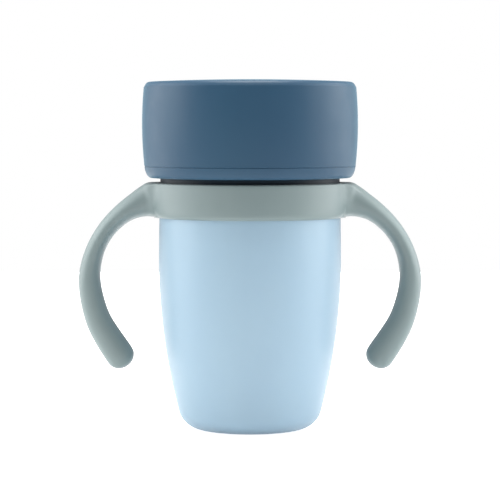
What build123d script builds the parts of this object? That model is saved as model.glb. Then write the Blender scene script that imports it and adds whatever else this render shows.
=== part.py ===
"""A 360-degree trainer cup: tumbler, turning handle ring, screw lid with a silicone valve, travel cap.

Millimetres, +Z up. The origin is the centre of the foot, on the surface the cup stands on, and the two
handles lie along X.
"""
import os

from build123d import *

os.makedirs("parts", exist_ok=True)

# ---- Tumbler ---------------------------------------------------------------------------------------
belly_radius = 33.52        # widest place
belly_height = 66.4
waist_tuck = 1.95           # inside the widest place, part of the way up
waist_height = 33.0
heel_tuck = 9.0             # inside it where the side, carried on down, would meet the table
base_round = 8.8            # between the side and the foot
foot_recess_margin = 10.3   # from the moulding recess under the foot out to the heel
foot_recess_depth = 0.8
shoulder_tuck = 0.27        # the shoulder's edge is this much inside the widest place
shoulder_height = 80.8
tumbler_wall = 1.8
floor_thickness = 2.4
shoulder_ledge = 2.7        # from the shoulder's edge in to the neck, where the handle ring rests
neck_wall = 1.7
neck_height = 17.0          # above the shoulder
shoulder_edge_round = 0.7
mouth_round = 0.6
shoulder_lean = 0.05        # inward slope of the side where it meets the shoulder

# ---- Screw thread, two starts ----------------------------------------------------------------------
thread_lead = 9.0           # rise in one turn
thread_starts = 2
thread_height = 1.0         # radially
thread_root_width = 2.2
thread_crest_width = 1.2
thread_turns = 0.75         # of each start
thread_above_shoulder = 7.0 # first end of the neck's thread, to its middle
thread_bite = 0.5           # how far a thread is sunk into its wall
thread_root_gap = 0.35      # crest of one thread to the root of the other
lid_thread_root_width = 1.7
lid_thread_crest_width = 0.9

# ---- Handle ring -----------------------------------------------------------------------------------
ring_wall = 2.15            # outside the shoulder
ring_height = 12.8
ring_skirt = 3.1            # how far the ring hangs below its flange
ring_flange_thickness = 2.5
ring_top_round = 0.7
ring_foot_round = 1.7
ring_running_gap = 0.3      # so that the ring turns on the tumbler
ring_skirt_gap = 0.4        # round the shoulder's edge
# Stations along a handle: distance outside the ring, drop below its top, thickness, width across.
handle_stations = [
    (-4.8, 6.4, 12.6, 36.0),
    (-2.2, 6.4, 12.5, 30.0),
    (0.4, 6.5, 12.3, 22.8),
    (3.4, 7.3, 11.2, 17.8),
    (6.4, 8.6, 9.2, 15.2),
    (10.0, 10.7, 7.7, 13.6),
    (14.7, 14.8, 6.7, 12.7),
    (18.3, 19.3, 6.4, 12.2),
    (21.65, 26.0, 6.7, 12.0),
    (23.5, 36.2, 7.9, 12.2),
    (21.1, 48.1, 8.9, 12.5),
    (18.05, 54.7, 9.7, 12.3),
    (14.1, 60.9, 10.3, 11.8),
    (9.9, 66.8, 10.3, 11.3),
]
handle_tip_round = 4.6

# ---- Screw lid -------------------------------------------------------------------------------------
lid_wall = 1.75
lid_skirt_wall = 1.1
lid_flange_width = 1.9      # outside the skirt; the travel cap's lip passes over it
lid_flange_height = 2.0
lid_flange_round = 0.4
lid_flange_above_ring = 2.6
lid_waist_step = 0.15       # the upper wall starts this much outside the skirt
lid_flare = 1.7             # and leans out by this much to the drinking edge
lid_rim_height = 24.5       # drinking edge above the tumbler's mouth
lid_rim_flat = 0.2          # left between the roundings of the drinking edge
lid_web_thickness = 2.0
lid_web_below_rim = 12.0    # underside of the valve's web to the drinking edge
lid_spokes = 8
lid_spoke_width = 4.2
lid_port_margin = 4.0       # from the ports out to the lid's wall
hub_radius = 7.0
hub_collar = 4.5            # web round the hub, inside the ports
hub_rise = 1.7              # the hub stands above the web
hub_drop = 1.6              # and below it
hub_bore_radius = 3.0
valve_seat_width = 2.0      # ledge inside the wall that the membrane's edge closes on
valve_seat_edge = 0.7
gasket_ledge_thickness = 1.7
seat_gap = 0.05             # between pieces that rest on each other
cut_overrun = 1.0           # how far a cutting shape goes past the face it cuts

# ---- Gasket and valve ------------------------------------------------------------------------------
gasket_thickness = 1.6
gasket_side_gap = 0.25
membrane_thickness = 1.6
membrane_edge_thickness = 0.9
membrane_edge_gap = 0.4
membrane_rise = 1.6         # edge above the middle
membrane_pad_radius = 9.0
disc_inset = 10.3           # the rigid disc's edge inside the membrane's
disc_edge_thickness = 0.9
disc_dome = 1.0
disc_edge_gap = 0.6         # open space under the disc's edge, for the membrane to lift
stem_gap = 0.25
stem_head_step = 0.9        # the stem's head stands out past the hub's bore
stem_head_length = 2.6
stem_slot_width = 1.2
grip_length = 22.0
grip_width = 3.0
grip_height = 2.9           # above the disc's edge

# ---- Travel cap ------------------------------------------------------------------------------------
cap_gap_above_ring = 1.8
cap_side_height = 35.1      # bottom edge to where the domed top begins
cap_lip_gap = 0.25          # round the lid's flange
cap_lip_width = 1.4
cap_lip_height = 2.2
cap_foot_height = 4.4
cap_foot_flare = 2.3        # side above the rounded bottom edge, outside the lip
cap_foot_slope = 0.15       # rise of that rounded edge where it leaves the lip
cap_foot_fullness = (0.9, 1.0)  # how far it bows out, at the lip and at the side
cap_belly = 3.05            # widest place, outside the lip
cap_belly_height = 23.4
cap_shoulder_flare = 2.45   # side at the crease below the top's edge, outside the lip
cap_shoulder_drop = 1.9
cap_crease_step = 0.12
cap_edge_round = 2.2        # width of the sloping band between the crease and the top
cap_edge_lean = 0.45        # inward slope of that band where it leaves the crease
cap_crown = 0.85            # the top is slightly domed
cap_wall = 1.7
cap_top_wall = 1.9
cap_groove_height = 4.2
cap_groove_depth = 0.22
cap_ring_width = 1.6        # ring inside the cap's top that closes on the drinking edge

# ---- Places worked out from the sizes above --------------------------------------------------------
waist_radius = belly_radius - waist_tuck
heel_radius = belly_radius - heel_tuck
shoulder_radius = belly_radius - shoulder_tuck
neck_radius = shoulder_radius - shoulder_ledge
mouth_height = shoulder_height + neck_height
thread_crest_radius = neck_radius + thread_height
thread_pitch = thread_lead / thread_starts
thread_start_height = shoulder_height + thread_above_shoulder

ring_flange_bottom = shoulder_height + ring_running_gap
ring_flange_top = ring_flange_bottom + ring_flange_thickness
ring_bottom = ring_flange_bottom - ring_skirt
ring_top = ring_bottom + ring_height
ring_skirt_radius = shoulder_radius + ring_skirt_gap
ring_radius = ring_skirt_radius + ring_wall
ring_hole_radius = thread_crest_radius + ring_running_gap

lid_bore_radius = thread_crest_radius + thread_root_gap
lid_skirt_radius = lid_bore_radius + lid_skirt_wall
ring_bore_radius = lid_skirt_radius + ring_running_gap
lid_bottom = ring_flange_top + ring_running_gap
lid_flange_radius = lid_skirt_radius + lid_flange_width
lid_flange_bottom = ring_top + lid_flange_above_ring
lid_waist_radius = lid_skirt_radius + lid_waist_step
lid_waist_height = lid_flange_bottom + lid_flange_height + (lid_flange_radius - lid_waist_radius) / 2
lid_rim_radius = lid_waist_radius + lid_flare
lid_rim_top = mouth_height + lid_rim_height
lid_taper = lid_flare / (lid_rim_top - lid_waist_height)
gasket_inner_radius = neck_radius - neck_wall
gasket_bottom = mouth_height + seat_gap
gasket_top = gasket_bottom + gasket_thickness
lid_ledge_bottom = gasket_top + seat_gap
lid_ledge_top = lid_ledge_bottom + gasket_ledge_thickness
web_bottom = lid_rim_top - lid_web_below_rim
web_top = web_bottom + lid_web_thickness
hub_top = web_top + hub_rise
hub_bottom = web_bottom - hub_drop

membrane_bottom = hub_top + seat_gap
membrane_top = membrane_bottom + membrane_thickness
membrane_edge_bottom = membrane_bottom + membrane_rise
seat_height = membrane_edge_bottom - seat_gap
seat_wall_radius = lid_rim_radius - lid_wall - (lid_rim_top - seat_height) * lid_taper
seat_inner_radius = seat_wall_radius - valve_seat_width
membrane_radius = seat_wall_radius - membrane_edge_gap
membrane_bend_radius = seat_inner_radius - membrane_edge_thickness
disc_radius = membrane_radius - disc_inset
disc_bottom = membrane_top + seat_gap
disc_edge_bottom = membrane_edge_bottom + membrane_edge_thickness + seat_gap + disc_edge_gap
disc_edge_top = disc_edge_bottom + disc_edge_thickness
stem_head_top = hub_bottom - seat_gap
stem_bottom = stem_head_top - stem_head_length
stem_head_radius = hub_bore_radius + stem_head_step

cap_bottom = ring_top + cap_gap_above_ring
cap_side_top = cap_bottom + cap_side_height
cap_lip_inner_radius = lid_flange_radius + cap_lip_gap
cap_lip_radius = cap_lip_inner_radius + cap_lip_width
cap_foot_radius = cap_lip_radius + cap_foot_flare
cap_radius = cap_lip_radius + cap_belly
cap_shoulder_radius = cap_lip_radius + cap_shoulder_flare
cap_foot_top = cap_bottom + cap_foot_height
cap_belly_top = cap_bottom + cap_belly_height
cap_crease_height = cap_side_top - cap_shoulder_drop


def thread(root_radius, start_height, root_width, crest_width, outward, turned):
    """One start of a thread: a tapering rib, swept along its helix from the wall at root_radius."""
    side = 1 if outward else -1
    rise = thread_lead * thread_turns
    with BuildPart() as rib:
        with BuildLine(Plane.XY.offset(start_height).rotated((0, 0, turned))) as path:
            Helix(pitch=thread_lead, height=rise, radius=root_radius)
        start = path.line @ 0
        radial = Vector(start.X, start.Y, 0).normalized() * side
        with BuildSketch(Plane(origin=start, x_dir=radial, z_dir=path.line % 0)):
            with BuildLine():
                Polyline(
                    (-thread_bite, -root_width / 2),
                    (0, -root_width / 2),
                    (thread_height, -crest_width / 2),
                    (thread_height, crest_width / 2),
                    (0, root_width / 2),
                    (-thread_bite, root_width / 2),
                    close=True,
                )
            make_face()
        sweep(path=path.line, binormal=Edge.make_line((0, 0, 0), (0, 0, 1)))
    return rib.part


# ---- Tumbler: one moulded wall, a shoulder for the handle ring, and a threaded neck ------------------
with BuildPart() as tumbler:
    with BuildSketch(Plane.XZ):
        with BuildLine():
            side = ThreePointArc(
                (heel_radius, 0), (waist_radius, waist_height), (belly_radius, belly_height)
            )
            upper = Spline(
                side @ 1, (shoulder_radius, shoulder_height), tangents=[side % 1, (-shoulder_lean, 1)]
            )
            Polyline(
                upper @ 1,
                (neck_radius, shoulder_height),
                (neck_radius, mouth_height),
                (0, mouth_height),
                (0, 0),
                side @ 0,
            )
        make_face()
        fillet(vertices().group_by(Axis.Y)[0].sort_by(Axis.X)[-1], base_round)
    revolve(axis=Axis.Z)
    shoulder_edge = edges().filter_by(GeomType.CIRCLE).group_by(Axis.Z)[-2].sort_by(SortBy.RADIUS)[-1]
    fillet(shoulder_edge, shoulder_edge_round)
    with BuildSketch(Plane.XZ):
        with BuildLine():
            inner_side = ThreePointArc(
                (heel_radius - tumbler_wall, 0),
                (waist_radius - tumbler_wall, waist_height),
                (belly_radius - tumbler_wall, belly_height),
            )
            inner_upper = Line(
                inner_side @ 1, (shoulder_radius - tumbler_wall, shoulder_height - 3 * tumbler_wall)
            )
            inner_neck = Line(
                (neck_radius - neck_wall, shoulder_height - neck_wall / 4),
                (neck_radius - neck_wall, mouth_height),
            )
            Spline(inner_upper @ 1, inner_neck @ 0, tangents=[inner_upper % 1, (0, 1)])
            Polyline(inner_neck @ 1, (0, mouth_height), (0, 0), inner_side @ 0)
        make_face()
        Rectangle(2 * heel_radius, 2 * floor_thickness, mode=Mode.SUBTRACT)
        fillet(vertices().group_by(Axis.Y)[0].sort_by(Axis.X)[-1], base_round - tumbler_wall)
    revolve(axis=Axis.Z, mode=Mode.SUBTRACT)
    fillet(edges().filter_by(GeomType.CIRCLE).group_by(Axis.Z)[-1], mouth_round)
    with BuildSketch():
        Circle(heel_radius - foot_recess_margin)
    extrude(amount=foot_recess_depth, mode=Mode.SUBTRACT)
    for number in range(thread_starts):
        add(thread(
            neck_radius, thread_start_height, thread_root_width, thread_crest_width, True,
            number * 360 / thread_starts,
        ))
tumbler.part.label = "tumbler"
export_step(tumbler.part, "parts/tumbler.step")


# ---- Handle ring: a collar round the tumbler's neck with two open handles ----------------------------
def handle():
    """One handle: an oval bar that flares into the ring and thickens towards its round free end."""
    stations = [
        (ring_radius + out, ring_top - drop, thickness, width)
        for out, drop, thickness, width in handle_stations
    ]
    with BuildPart() as grip:
        with BuildLine():
            spine = Spline([(x, 0, z) for x, z, _, _ in stations])
        for x, z, thickness, width in stations:
            along = spine.tangent_at(spine.param_at_point((x, 0, z)))
            with BuildSketch(Plane(origin=(x, 0, z), x_dir=(0, 1, 0), z_dir=along)):
                Ellipse(width / 2, thickness / 2)
        loft()
        end_face = faces().filter_by(GeomType.PLANE).sort_by(Axis.Z)[0]
        fillet(end_face.edges(), handle_tip_round)
    return grip.part


with BuildPart() as handle_ring:
    with BuildSketch(Plane.XY.offset(ring_bottom)):
        Circle(ring_radius)
    extrude(amount=ring_height)
    fillet(edges().sort_by(Axis.Z)[0], ring_foot_round)
    fillet(edges().sort_by(Axis.Z)[-1], ring_top_round)
    with PolarLocations(0, 2):
        add(handle())
    with BuildSketch(Plane.XZ):
        with BuildLine():
            Polyline(
                (0, ring_bottom - cut_overrun),
                (ring_skirt_radius, ring_bottom - cut_overrun),
                (ring_skirt_radius, ring_flange_bottom),
                (ring_hole_radius, ring_flange_bottom),
                (ring_hole_radius, ring_flange_top),
                (ring_bore_radius, ring_flange_top),
                (ring_bore_radius, ring_top + cut_overrun),
                (0, ring_top + cut_overrun),
                close=True,
            )
        make_face()
    revolve(axis=Axis.Z, mode=Mode.SUBTRACT)
handle_ring.part.label = "handle_ring"
export_step(handle_ring.part, "parts/handle_ring.step")


# ---- Screw lid: a threaded skirt, a drinking edge, and a spoked web that carries the valve -----------
def lid_side(height):
    """Outside radius of the lid's upper wall at a height."""
    return lid_rim_radius - (lid_rim_top - height) * lid_taper


with BuildPart() as screw_lid:
    with BuildSketch(Plane.XZ):
        with BuildLine():
            Polyline(
                (lid_bore_radius, lid_bottom),
                (lid_skirt_radius, lid_bottom),
                (lid_skirt_radius, lid_flange_bottom),
                (lid_flange_radius, lid_flange_bottom),
                (lid_flange_radius, lid_flange_bottom + lid_flange_height),
                (lid_waist_radius, lid_waist_height),
                (lid_rim_radius, lid_rim_top),
                (lid_rim_radius - lid_wall, lid_rim_top),
                (lid_side(seat_height) - lid_wall, seat_height),
                (seat_inner_radius, seat_height),
                (seat_inner_radius, seat_height - valve_seat_edge),
                (lid_side(web_top) - lid_wall, seat_height - valve_seat_edge - valve_seat_width),
                (lid_side(lid_ledge_top) - lid_wall, lid_ledge_top),
                (gasket_inner_radius, lid_ledge_top),
                (gasket_inner_radius, lid_ledge_bottom),
                (lid_bore_radius, lid_ledge_bottom),
                close=True,
            )
        make_face()
    revolve(axis=Axis.Z)
    fillet(edges().group_by(Axis.Z)[-1], (lid_wall - lid_rim_flat) / 2)
    flange_edges = edges().filter_by(GeomType.CIRCLE).filter_by(
        lambda edge: abs(edge.radius - lid_flange_radius) < seat_gap
    )
    fillet(flange_edges, lid_flange_round)
    with BuildSketch(Plane.XY.offset(web_bottom)):
        Circle(lid_side(web_bottom) - lid_wall + thread_bite)
        Circle(lid_side(web_bottom) - lid_wall - lid_port_margin, mode=Mode.SUBTRACT)
        with PolarLocations(0, lid_spokes):
            Rectangle(
                lid_side(web_bottom) - lid_wall, lid_spoke_width, align=(Align.MIN, Align.CENTER)
            )
        Circle(hub_radius + hub_collar)
    extrude(amount=lid_web_thickness)
    with BuildSketch(Plane.XY.offset(hub_bottom)):
        Circle(hub_radius)
    extrude(amount=hub_top - hub_bottom)
    with Locations((0, 0, hub_top)):
        Hole(radius=hub_bore_radius, depth=hub_top - hub_bottom)
    for number in range(thread_starts):
        add(thread(
            lid_bore_radius, thread_start_height - thread_pitch / 2, lid_thread_root_width,
            lid_thread_crest_width, False, number * 360 / thread_starts,
        ))
screw_lid.part.label = "screw_lid"
export_step(screw_lid.part, "parts/screw_lid.step")

# ---- Gasket: a flat ring between the tumbler's mouth and the lid's ledge -----------------------------
with BuildPart() as lid_gasket:
    with BuildSketch(Plane.XY.offset(gasket_bottom)):
        Circle(lid_bore_radius - gasket_side_gap)
        Circle(gasket_inner_radius, mode=Mode.SUBTRACT)
    extrude(amount=gasket_thickness)
    fillet(edges(), gasket_thickness / 4)
lid_gasket.part.label = "lid_gasket"
export_step(lid_gasket.part, "parts/lid_gasket.step")

# ---- Valve membrane: a soft dish that rests on the hub and closes on the seat with its edge ----------
with BuildPart() as valve_membrane:
    with BuildSketch(Plane.XZ):
        with BuildLine():
            Polyline(
                (hub_bore_radius, membrane_bottom),
                (membrane_pad_radius, membrane_bottom),
                (membrane_bend_radius, membrane_edge_bottom),
                (membrane_radius, membrane_edge_bottom),
                (membrane_radius, membrane_edge_bottom + membrane_edge_thickness),
                (membrane_bend_radius, membrane_edge_bottom + membrane_edge_thickness),
                (membrane_pad_radius, membrane_top),
                (hub_bore_radius, membrane_top),
                close=True,
            )
        make_face()
    revolve(axis=Axis.Z)
    rim_edges = edges().filter_by(GeomType.CIRCLE).group_by(SortBy.RADIUS)[-1]
    fillet(rim_edges, membrane_edge_thickness / 3)
valve_membrane.part.label = "valve_membrane"
export_step(valve_membrane.part, "parts/valve_membrane.step")

# ---- Valve disc: a rigid disc, its finger grip, and a split stem that snaps under the hub ------------
with BuildPart() as valve_disc:
    with BuildSketch(Plane.XZ):
        with BuildLine():
            under = Polyline(
                (0, stem_bottom),
                (stem_head_radius - stem_head_length / 2, stem_bottom),
                (stem_head_radius, stem_head_top - stem_gap),
                (stem_head_radius, stem_head_top),
                (hub_bore_radius - stem_gap, stem_head_top),
                (hub_bore_radius - stem_gap, disc_bottom),
                (membrane_pad_radius, disc_bottom),
                (disc_radius, disc_edge_bottom),
                (disc_radius, disc_edge_top),
            )
            crown = Spline(
                under @ 1,
                (0, disc_edge_top + disc_dome),
                tangents=[(-1, 2 * disc_dome / disc_radius), (-1, 0)],
            )
            Line(crown @ 1, under @ 0)
        make_face()
    revolve(axis=Axis.Z)
    with BuildSketch(Plane.XY.offset(disc_edge_top)):
        SlotOverall(grip_length, grip_width)
    extrude(amount=grip_height)
    fillet(edges().group_by(Axis.Z)[-1], grip_width / 3)
    with BuildSketch(Plane.XY.offset(stem_bottom)):
        Rectangle(2 * stem_head_radius, stem_slot_width)
        Rectangle(stem_slot_width, 2 * stem_head_radius)
    extrude(amount=hub_top - stem_bottom, mode=Mode.SUBTRACT)
valve_disc.part.label = "valve_disc"
export_step(valve_disc.part, "parts/valve_disc.step")

# ---- Travel cap: a barrel-sided shell whose lip passes over the lid's flange -------------------------
with BuildPart() as travel_cap:
    with BuildSketch(Plane.XZ):
        with BuildLine():
            lip = Line((0, cap_bottom), (cap_lip_radius, cap_bottom))
            side = ThreePointArc(
                (cap_foot_radius, cap_foot_top),
                (cap_radius, cap_belly_top),
                (cap_shoulder_radius, cap_crease_height),
            )
            Spline(
                lip @ 1, side @ 0,
                tangents=[(1, cap_foot_slope), side % 0], tangent_scalars=cap_foot_fullness,
            )
            crease = Line(side @ 1, side @ 1 - Vector(cap_crease_step, 0))
            crown_start = (cap_shoulder_radius - cap_edge_round, cap_side_top)
            crown_slope = (-1, 2 * cap_crown / crown_start[0])
            Spline(crease @ 1, crown_start, tangents=[(-cap_edge_lean, 1), crown_slope])
            crown = Spline(crown_start, (0, cap_side_top + cap_crown), tangents=[crown_slope, (-1, 0)])
            Line(crown @ 1, lip @ 0)
        make_face()
    revolve(axis=Axis.Z)
    with BuildSketch(Plane.XZ):
        with BuildLine():
            inner_lip = Polyline(
                (0, cap_bottom - cut_overrun),
                (cap_lip_inner_radius, cap_bottom - cut_overrun),
                (cap_lip_inner_radius, cap_bottom + cap_lip_height),
                (cap_foot_radius - cap_wall, cap_foot_top + cap_wall),
            )
            inner_side = ThreePointArc(
                inner_lip @ 1,
                (cap_radius - cap_wall, cap_belly_top),
                (cap_shoulder_radius - cap_wall, cap_side_top - cap_top_wall),
            )
            Polyline(
                inner_side @ 1,
                (0, cap_side_top + cap_crown - cap_top_wall),
                (0, cap_bottom - cut_overrun),
            )
        make_face()
    revolve(axis=Axis.Z, mode=Mode.SUBTRACT)
    with BuildSketch(Plane.XZ):
        with Locations((cap_foot_radius, cap_bottom + cap_groove_height)):
            Circle(cap_groove_depth)
    revolve(axis=Axis.Z, mode=Mode.SUBTRACT)
    with BuildSketch(Plane.XY.offset(lid_rim_top + seat_gap)):
        Circle(lid_rim_radius - lid_wall / 2 + cap_ring_width / 2)
        Circle(lid_rim_radius - lid_wall / 2 - cap_ring_width / 2, mode=Mode.SUBTRACT)
    extrude(amount=cap_side_top - cap_top_wall / 2 - lid_rim_top)
travel_cap.part.label = "travel_cap"
export_step(travel_cap.part, "parts/travel_cap.step")
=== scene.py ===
"""A two-handled trainer cup: light blue tumbler, grey handle ring, dark blue travel cap, valve lid inside.

Sizes are in millimetres and turned to metres where a mesh is made. The cup stands on z = 0 with its axis
on Z and its handles along X.
"""
from math import atan2, cos, hypot, pi, radians, sin, sqrt

import bmesh
import bpy
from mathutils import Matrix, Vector


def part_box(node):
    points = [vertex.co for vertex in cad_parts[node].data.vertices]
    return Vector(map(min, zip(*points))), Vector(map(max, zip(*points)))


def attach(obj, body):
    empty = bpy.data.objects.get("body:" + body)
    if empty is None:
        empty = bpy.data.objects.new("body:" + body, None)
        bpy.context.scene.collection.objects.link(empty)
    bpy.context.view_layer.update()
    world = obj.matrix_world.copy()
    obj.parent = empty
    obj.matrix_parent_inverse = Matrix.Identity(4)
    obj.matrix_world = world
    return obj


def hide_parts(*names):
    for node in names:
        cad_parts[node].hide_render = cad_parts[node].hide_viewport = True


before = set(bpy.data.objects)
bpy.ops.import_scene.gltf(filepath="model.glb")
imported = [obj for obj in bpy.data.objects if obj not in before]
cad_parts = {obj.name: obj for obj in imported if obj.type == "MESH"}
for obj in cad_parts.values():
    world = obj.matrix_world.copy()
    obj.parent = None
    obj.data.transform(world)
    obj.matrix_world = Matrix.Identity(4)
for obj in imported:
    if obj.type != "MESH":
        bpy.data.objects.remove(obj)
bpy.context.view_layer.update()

MM = 0.001


# ---- Colour, nodes and materials --------------------------------------------------------------------
FLOW_MARK = 34.0            # mm across, for a wall this thick
GLOSS_PATCH = 9.0           # mm, the size of patches that came off the tool a little duller
GLOSS_SPREAD = 0.04         # how much duller or shinier than the rest
SWELL = 16.0                # mm across, where the wall shrank unevenly


def linear(hex_colour):
    """An sRGB hex colour as linear RGBA."""
    channels = [int(hex_colour[i:i + 2], 16) / 255 for i in (1, 3, 5)]
    return [c / 12.92 if c <= 0.04045 else ((c + 0.055) / 1.055) ** 2.4 for c in channels] + [1.0]


def add(tree, kind, settings=(), **inputs):
    """Adds a node with its settings; inputs are values or (node, output) links, and _N is input number N."""
    made = tree.nodes.new("ShaderNode" + kind)
    for name, value in dict(settings).items():
        setattr(made, name, value)
    for name, value in inputs.items():
        socket = made.inputs[int(name[1:])] if name[0] == "_" else made.inputs[name.replace("_", " ")]
        if isinstance(value, tuple) and isinstance(value[0], bpy.types.Node):
            tree.links.new(value[0].outputs[value[1]], socket)
        else:
            socket.default_value = value
    return made


def moulded(name, colour, flow_colour, roughness, grain_mm, grain_depth_mm, sockets, ripple_mm=0.0):
    """A moulded skin: flow marks in its colour, a tool's grain and ripple in its surface, uneven gloss.

    sockets holds the shader's own values, such as sheen and subsurface.
    """
    material = bpy.data.materials.new(name)
    material.use_nodes = True
    tree = material.node_tree
    shader = tree.nodes["Principled BSDF"]
    place = add(tree, "TexCoord")
    # Melt flows up from the gate, so its cloudy marks are drawn out along the axis.
    drawn_out = add(tree, "Mapping", Vector=(place, "Object"), Scale=(1, 1, 0.35))
    flow = add(tree, "TexNoise", Vector=(drawn_out, "Vector"), Scale=1 / (FLOW_MARK * MM), Detail=3.0)
    spread = add(tree, "MapRange", Value=(flow, "Fac"), From_Min=0.35, From_Max=0.65)
    tint = add(
        tree, "Mix", {"data_type": "RGBA"},
        _0=(spread, "Result"), _6=linear(colour), _7=linear(flow_colour),
    )
    smear = add(tree, "TexNoise", Vector=(place, "Object"), Scale=1 / (GLOSS_PATCH * MM), Detail=4.0)
    gloss = add(
        tree, "MapRange", Value=(smear, "Fac"), From_Min=0.3, From_Max=0.7,
        To_Min=roughness - GLOSS_SPREAD, To_Max=roughness + GLOSS_SPREAD,
    )
    grain = add(tree, "TexNoise", Vector=(place, "Object"), Scale=1 / (grain_mm * MM), Detail=3.0)
    bump = add(tree, "Bump", Height=(grain, "Fac"), Distance=grain_depth_mm * MM, Strength=1.0)
    if ripple_mm:
        # Wall shrinks unevenly as it cools and leaves slow swells.
        swell = add(tree, "TexNoise", Vector=(place, "Object"), Scale=1 / (SWELL * MM), Detail=1.0)
        bump = add(
            tree, "Bump", Height=(swell, "Fac"), Distance=ripple_mm * MM, Strength=1.0,
            Normal=(bump, "Normal"),
        )
    tree.links.new(tint.outputs[2], shader.inputs["Base Color"])
    tree.links.new(gloss.outputs["Result"], shader.inputs["Roughness"])
    tree.links.new(bump.outputs["Normal"], shader.inputs["Normal"])
    for socket, value in sockets.items():
        shader.inputs[socket].default_value = value
    return material


def wear(obj, material):
    """Gives an object one material."""
    obj.data.materials.clear()
    obj.data.materials.append(material)


PP = {"IOR": 1.49, "Specular IOR Level": 0.45}
TRANSLUCENT = {
    "Subsurface Weight": 0.25, "Subsurface Radius": (1.0, 1.1, 1.3), "Subsurface Scale": 1.5 * MM,
}
BLUE_BLOOM = (0.5, 0.87, 1.0, 1.0)      # linear, where the dark blue turns away
# Polypropylene, injection moulded in a spark-eroded tool: a satin skin with soft, broad highlights and a
# pale bloom where it turns away. The real grain is about 0.05 mm; 0.5 mm is the finest that shows.
light_blue_pp = moulded(
    "satin_moulded_polypropylene_light_blue", "#8ca5b5", "#88a1b2", 0.42, 0.5, 0.005,
    PP | TRANSLUCENT | {"Sheen Weight": 0.08, "Sheen Roughness": 0.4}, ripple_mm=0.03,
)
grey_pp = moulded(
    "satin_moulded_polypropylene_warm_grey", "#6e7c7c", "#687778", 0.46, 0.5, 0.008,
    PP | {"Sheen Weight": 0.10, "Sheen Roughness": 0.4}, ripple_mm=0.02,
)
dark_blue_pp = moulded(
    "satin_moulded_polypropylene_dark_blue", "#21435a", "#1e3f57", 0.46, 0.5, 0.010,
    PP | {"Specular IOR Level": 0.3, "Sheen Weight": 0.2, "Sheen Roughness": 0.3,
          "Sheen Tint": BLUE_BLOOM}, ripple_mm=0.02,
)
# The lid's navy is a guess, made about half as bright as the cap's blue: painted shade, so that the strip of
# lid seen in the gap between cap and handle ring looks dark.
navy_pp_with_painted_gap_shade = moulded(
    "satin_moulded_polypropylene_navy_with_painted_gap_shade", "#0d2230", "#0b1f2d", 0.44, 0.5, 0.008,
    PP | {"Specular IOR Level": 0.15}, ripple_mm=0.02,
)
# Liquid silicone rubber, moulded in a polished tool: soft, a little see-through, with a dusty matt face.
pale_silicone = moulded(
    "matt_moulded_silicone_pale_blue", "#b9cfdb", "#b1c9d7", 0.58, 0.6, 0.004,
    {"IOR": 1.41, "Subsurface Weight": 0.4, "Subsurface Radius": (1.0, 1.1, 1.2),
     "Subsurface Scale": 1.5 * MM, "Sheen Weight": 0.15, "Sheen Roughness": 0.5},
)
clear_silicone = moulded(
    "matt_moulded_silicone_grey", "#c3cccf", "#bac5c9", 0.58, 0.6, 0.004,
    {"IOR": 1.41, "Subsurface Weight": 0.4, "Subsurface Radius": (1.0, 1.0, 1.0),
     "Subsurface Scale": 1.5 * MM, "Sheen Weight": 0.15, "Sheen Roughness": 0.5},
)

for node, material in {
    "tumbler": light_blue_pp, "handle_ring": grey_pp, "screw_lid": navy_pp_with_painted_gap_shade, "travel_cap": dark_blue_pp,
    "lid_gasket": clear_silicone, "valve_membrane": pale_silicone, "valve_disc": light_blue_pp,
}.items():
    wear(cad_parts[node], material)

# ---- Handle ring: a spun collar whose side is drawn out into two handles -------------------------------
RING_STEPS = 72             # faces round the collar
ROOT_ANGLE = 20.0           # degrees each side of a handle's middle that it grows out of
RING_WALL = 2.15            # of the skirt under the flange
RING_HEIGHT = 12.8
RING_SKIRT = 3.1            # how far the collar hangs below its flange
RING_FLANGE = 2.5           # thickness of the flange that sits on the tumbler's shoulder
FLANGE_REACH = 3.95         # from the collar's outside in to the flange's hole
BORE_REACH = 2.5            # and to the bore round the lid's skirt
RING_EDGE = 0.7             # rounding of the top edge
RING_FOOT = 1.7             # and of the bottom edge
RING_ROWS = (4.6, 7.4, 10.1)    # heights of the side's rows above the collar's bottom
RING_SKIRT_SLACK = 0.9      # faces further in than the skirt's middle by this are its inner side
CRISP = 0.15                # corners are held this tightly
SHARP = 50.0                # degrees, the least turn that is a corner
# Stations along a handle: distance outside the collar, drop below its top, thickness, width across, how
# square the bar still is there, and how much it still follows the collar's curve.
HANDLE_STATIONS = [
    (0.5, 6.45, 13.0, 20.2, 0.8, 0.9), (1.6, 6.8, 12.2, 17.0, 0.4, 0.5), (3.2, 7.3, 11.1, 15.6, 0.15, 0.2),
    (6.2, 8.6, 9.2, 15.0, 0.05, 0), (10.3, 10.95, 7.6, 14.6, 0, 0), (14.7, 14.8, 6.8, 13.2, 0, 0),
    (18.3, 19.3, 6.5, 12.6, 0, 0), (21.65, 26.0, 6.8, 12.2, 0, 0), (23.5, 36.2, 8.0, 12.3, 0, 0),
    (21.1, 48.1, 9.0, 12.6, 0, 0), (18.05, 54.7, 9.8, 12.4, 0, 0), (14.1, 60.9, 10.4, 11.9, 0, 0),
    (11.9, 64.1, 10.4, 11.6, 0, 0),
]
TIP_LENGTH = 4.6            # of the rounded free end
HANDLE_ROOT = (-1.0, 6.4)   # where a handle's middle line starts, inside the collar
DRAWN_IN = 0.12             # how far subdivision draws a bend in between two stations
FACES_OUT = 0.1             # least cosine between a side face's normal and the way out from the axis


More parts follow.
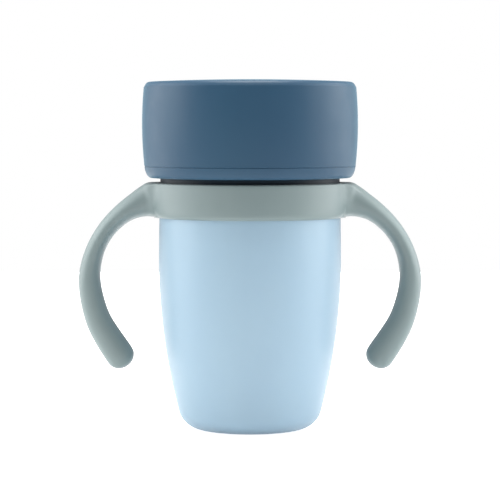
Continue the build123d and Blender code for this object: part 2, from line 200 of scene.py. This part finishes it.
def spun(name, section, steps):
    """Spins a closed section of (radius, height) millimetre points round Z into a piece."""
    bpy.ops.object.select_all(action="DESELECT")
    bpy.ops.mesh.primitive_circle_add(vertices=len(section), radius=1)
    piece = bpy.context.object
    piece.name = name
    for vertex, (radius, height) in zip(piece.data.vertices, section):
        vertex.co = (radius * MM, 0, height * MM)
    bpy.ops.object.mode_set(mode="EDIT")
    bpy.ops.mesh.select_all(action="SELECT")
    bpy.ops.mesh.spin(steps=steps, angle=2 * pi, center=(0, 0, 0), axis=(0, 0, 1))
    bpy.ops.mesh.select_all(action="SELECT")
    bpy.ops.mesh.remove_doubles(threshold=0.001 * MM)
    bpy.ops.mesh.normals_make_consistent(inside=False)
    bpy.ops.object.mode_set(mode="OBJECT")
    return piece


def arc(centre, radius, start, end, count=3):
    """Points of an arc in a section, from one angle to another, in degrees."""
    angles = [radians(start + (end - start) * i / count) for i in range(count + 1)]
    return [(centre[0] + radius * cos(a), centre[1] + radius * sin(a)) for a in angles]


def tight(points):
    """A section's points, with each sharp corner doubled so that subdivision leaves it crisp."""
    result = []
    for before, here, after in zip(points[-1:] + points[:-1], points, points[1:] + points[:1]):
        into = Vector(here) - Vector(before)
        out = Vector(after) - Vector(here)
        if abs(into.angle_signed(out)) < radians(SHARP):
            result.append(here)
        else:
            result.append(tuple(Vector(here) - into.normalized() * CRISP))
            result.append(tuple(Vector(here) + out.normalized() * CRISP))
    return result


def finished(piece, levels, material, body, node):
    """Subdivides and smooths a piece, gives it its material, and lets it stand for a CAD node."""
    bpy.ops.object.select_all(action="DESELECT")
    piece.select_set(True)
    bpy.context.view_layer.objects.active = piece
    smoother = piece.modifiers.new("smoother", "SUBSURF")
    smoother.levels = smoother.render_levels = levels
    bpy.ops.object.modifier_apply(modifier=smoother.name)
    bpy.ops.object.shade_smooth()
    wear(piece, material)
    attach(piece, body)
    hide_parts(node)


def on_disc(across, along_side, square):
    """A place on a square of sides 2 moved to the unit disc, or only part of the way."""
    x = across * sqrt(1 - along_side ** 2 / 2)
    y = along_side * sqrt(1 - across ** 2 / 2)
    return x + (across - x) * square, y + (along_side - y) * square


def with_middles(stations):
    """Stations with one more between each two, on the smooth curve through their neighbours."""
    result = [stations[0]]
    for number in range(1, len(stations)):
        near = [stations[max(0, min(len(stations) - 1, number + shift))] for shift in (-2, -1, 0, 1)]
        result.append(tuple((9 * (b + c) - a - d) / 16 for a, b, c, d in zip(*near)))
        result.append(stations[number])
    return result


ring_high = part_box("handle_ring")[1]
ring_top = ring_high.z / MM
ring_bottom = ring_top - RING_HEIGHT
ring_radius = ring_high.y / MM
flange_bottom = ring_bottom + RING_SKIRT
flange_top = flange_bottom + RING_FLANGE
outer_side = (
    arc((ring_radius - RING_FOOT, ring_bottom + RING_FOOT), RING_FOOT, -90, 0)
    + [(ring_radius, ring_bottom + row) for row in RING_ROWS]
    + arc((ring_radius - RING_EDGE, ring_top - RING_EDGE), RING_EDGE, 0, 90)
)
inner_side = [
    (ring_radius - BORE_REACH, ring_top),
    (ring_radius - BORE_REACH, flange_top),
    (ring_radius - FLANGE_REACH, flange_top),
    (ring_radius - FLANGE_REACH, flange_bottom),
    (ring_radius - RING_WALL, flange_bottom),
    (ring_radius - RING_WALL, ring_bottom),
]
ring = spun("turning_handle_ring", tight(outer_side + inner_side), RING_STEPS)


def near_row(radius, height):
    """Which of the side's rows a point of the collar lies on, from -1 at the bottom to 1 at the top."""
    gaps = [hypot(radius - r, height - z) for r, z in outer_side]
    return 2 * gaps.index(min(gaps)) / (len(outer_side) - 1) - 1


def draw_out_handle(side):
    """Extrudes the collar's side, to the right (1) or the left (-1), along the stations to a domed end."""
    bpy.ops.object.mode_set(mode="EDIT")
    bpy.ops.mesh.select_all(action="DESELECT")
    bpy.ops.mesh.select_mode(type="FACE")
    mesh = bmesh.from_edit_mesh(ring.data)
    place = mesh.verts.layers.float_vector.get("place") or mesh.verts.layers.float_vector.new("place")
    for face in mesh.faces:
        middle = face.calc_center_median()
        outward = Vector((middle.x, middle.y, 0)).normalized()
        on_side = face.normal.dot(outward) > FACES_OUT and hypot(middle.x, middle.y) > skirt_middle
        if on_side and outward.x * side > cos(radians(ROOT_ANGLE)):
            face.select_set(True)
            for vertex in face.verts:
                angle = atan2(vertex.co.y, vertex.co.x * side)
                radius = hypot(vertex.co.x, vertex.co.y) / MM
                vertex[place] = (angle / radians(ROOT_ANGLE), near_row(radius, vertex.co.z / MM), 0)
    bmesh.update_edit_mesh(ring.data)
    stations = with_middles(HANDLE_STATIONS)
    line = [Vector((ring_radius + out, 0, ring_top - drop)) for out, drop, *_ in stations]
    root = Vector((ring_radius + HANDLE_ROOT[0], 0, ring_top - HANDLE_ROOT[1]))
    for number, (_, _, thickness, width, square, follow) in enumerate(stations):
        before = line[number - 1] if number else root
        after = line[min(number + 1, len(line) - 1)]
        along = (after - before).normalized()
        upward = Vector((-along.z, 0, along.x))
        bpy.ops.mesh.extrude_region_move(TRANSFORM_OT_translate={"value": (0, 0, 0)})
        mesh = bmesh.from_edit_mesh(ring.data)
        place = mesh.verts.layers.float_vector.get("place")
        last = number == len(stations) - 1
        for vertex in mesh.verts:
            if not vertex.select:
                continue
            u, v, _ = vertex[place]
            x, y = on_disc(u, v, square)
            rise = 0.0
            if last:
                off_middle = max(abs(u), abs(v))
                spread = sin(pi / 2 * off_middle) / max(hypot(x, y), 1e-6)
                x, y, rise = x * spread, y * spread, cos(pi / 2 * off_middle)
            lift = y * (thickness / 2 + DRAWN_IN) + DRAWN_IN
            point = line[number] + upward * lift + along * (rise * TIP_LENGTH)
            across = x * (width / 2 + DRAWN_IN)
            set_back = follow * (ring_radius - sqrt(ring_radius ** 2 - across ** 2))
            vertex.co = Vector(((point.x - set_back) * side, across, point.z)) * MM
        bmesh.update_edit_mesh(ring.data)
    bpy.ops.mesh.select_all(action="SELECT")
    bpy.ops.mesh.normals_make_consistent(inside=False)
    bpy.ops.object.mode_set(mode="OBJECT")


skirt_middle = (ring_radius - RING_WALL / 2 - RING_SKIRT_SLACK) * MM
draw_out_handle(1)
draw_out_handle(-1)
finished(ring, 2, grey_pp, "handle_ring", "handle_ring")

# ---- Floor, camera and light --------------------------------------------------------------------------
scene = bpy.context.scene
scene.view_settings.view_transform = "Standard"

# The room and its floor are white to look at, and light the cup more dimly than they look.
ROOM_LIGHT = 0.45
FLOOR_LIGHT = 0.38
FLOOR_LOOK = 0.8            # the floor's own glow as the camera sees it

bpy.ops.object.select_all(action="DESELECT")
bpy.ops.mesh.primitive_plane_add(size=1.7)
floor = bpy.context.object
floor.name = "studio_floor"
floor_paint = bpy.data.materials.new("white_studio_floor")
floor_paint.use_nodes = True
floor_shader = floor_paint.node_tree.nodes["Principled BSDF"]
floor_shader.inputs["Base Color"].default_value = linear("#e6e6e6")
floor_shader.inputs["Roughness"].default_value = 0.9
floor_shader.inputs["Specular IOR Level"].default_value = 0.0
floor_shader.inputs["Emission Color"].default_value = (1, 1, 1, 1)
floor_seen = add(floor_paint.node_tree, "LightPath")
floor_glow = add(
    floor_paint.node_tree, "MapRange", Value=(floor_seen, "Is Camera Ray"), To_Min=FLOOR_LIGHT,
    To_Max=FLOOR_LOOK,
)
floor_paint.node_tree.links.new(floor_glow.outputs["Result"], floor_shader.inputs["Emission Strength"])
wear(floor, floor_paint)

world = bpy.data.worlds.new("white_room")
scene.world = world
world.use_nodes = True
room = world.node_tree.nodes["Background"]
room.inputs["Color"].default_value = (1, 1, 1, 1)
seen = add(world.node_tree, "LightPath")
strength = add(
    world.node_tree, "MapRange", Value=(seen, "Is Camera Ray"), To_Min=ROOM_LIGHT, To_Max=1.0
)
world.node_tree.links.new(strength.outputs["Result"], room.inputs["Strength"])

CAMERA_PLACE = (0, -0.810, 0.113)
CAMERA_PITCH = 3.33         # degrees down from level
camera_data = bpy.data.cameras.new("camera")
camera = bpy.data.objects.new("camera", camera_data)
scene.collection.objects.link(camera)
camera.location = CAMERA_PLACE
camera.rotation_euler = (radians(90 - CAMERA_PITCH), 0, 0)
camera_data.lens = 158.4
camera_data.sensor_width = 36
scene.camera = camera


def softbox(name, place, target, size, power):
    """A square light that faces a point."""
    lamp = bpy.data.lights.new(name, "AREA")
    lamp.size = size
    lamp.energy = power
    holder = bpy.data.objects.new(name, lamp)
    scene.collection.objects.link(holder)
    holder.location = place
    holder.rotation_euler = (Vector(target) - Vector(place)).to_track_quat("-Z", "Y").to_euler()


CUP_MIDDLE = (0, 0, 0.06)
softbox("left_light", (-0.9, 0.15, 0.35), CUP_MIDDLE, 1.1, 13.5)
softbox("right_light", (0.9, 0.15, 0.35), CUP_MIDDLE, 1.1, 14)
softbox("top_light", (0, 0, 1.0), CUP_MIDDLE, 0.6, 15)

bpy.context.view_layer.update()
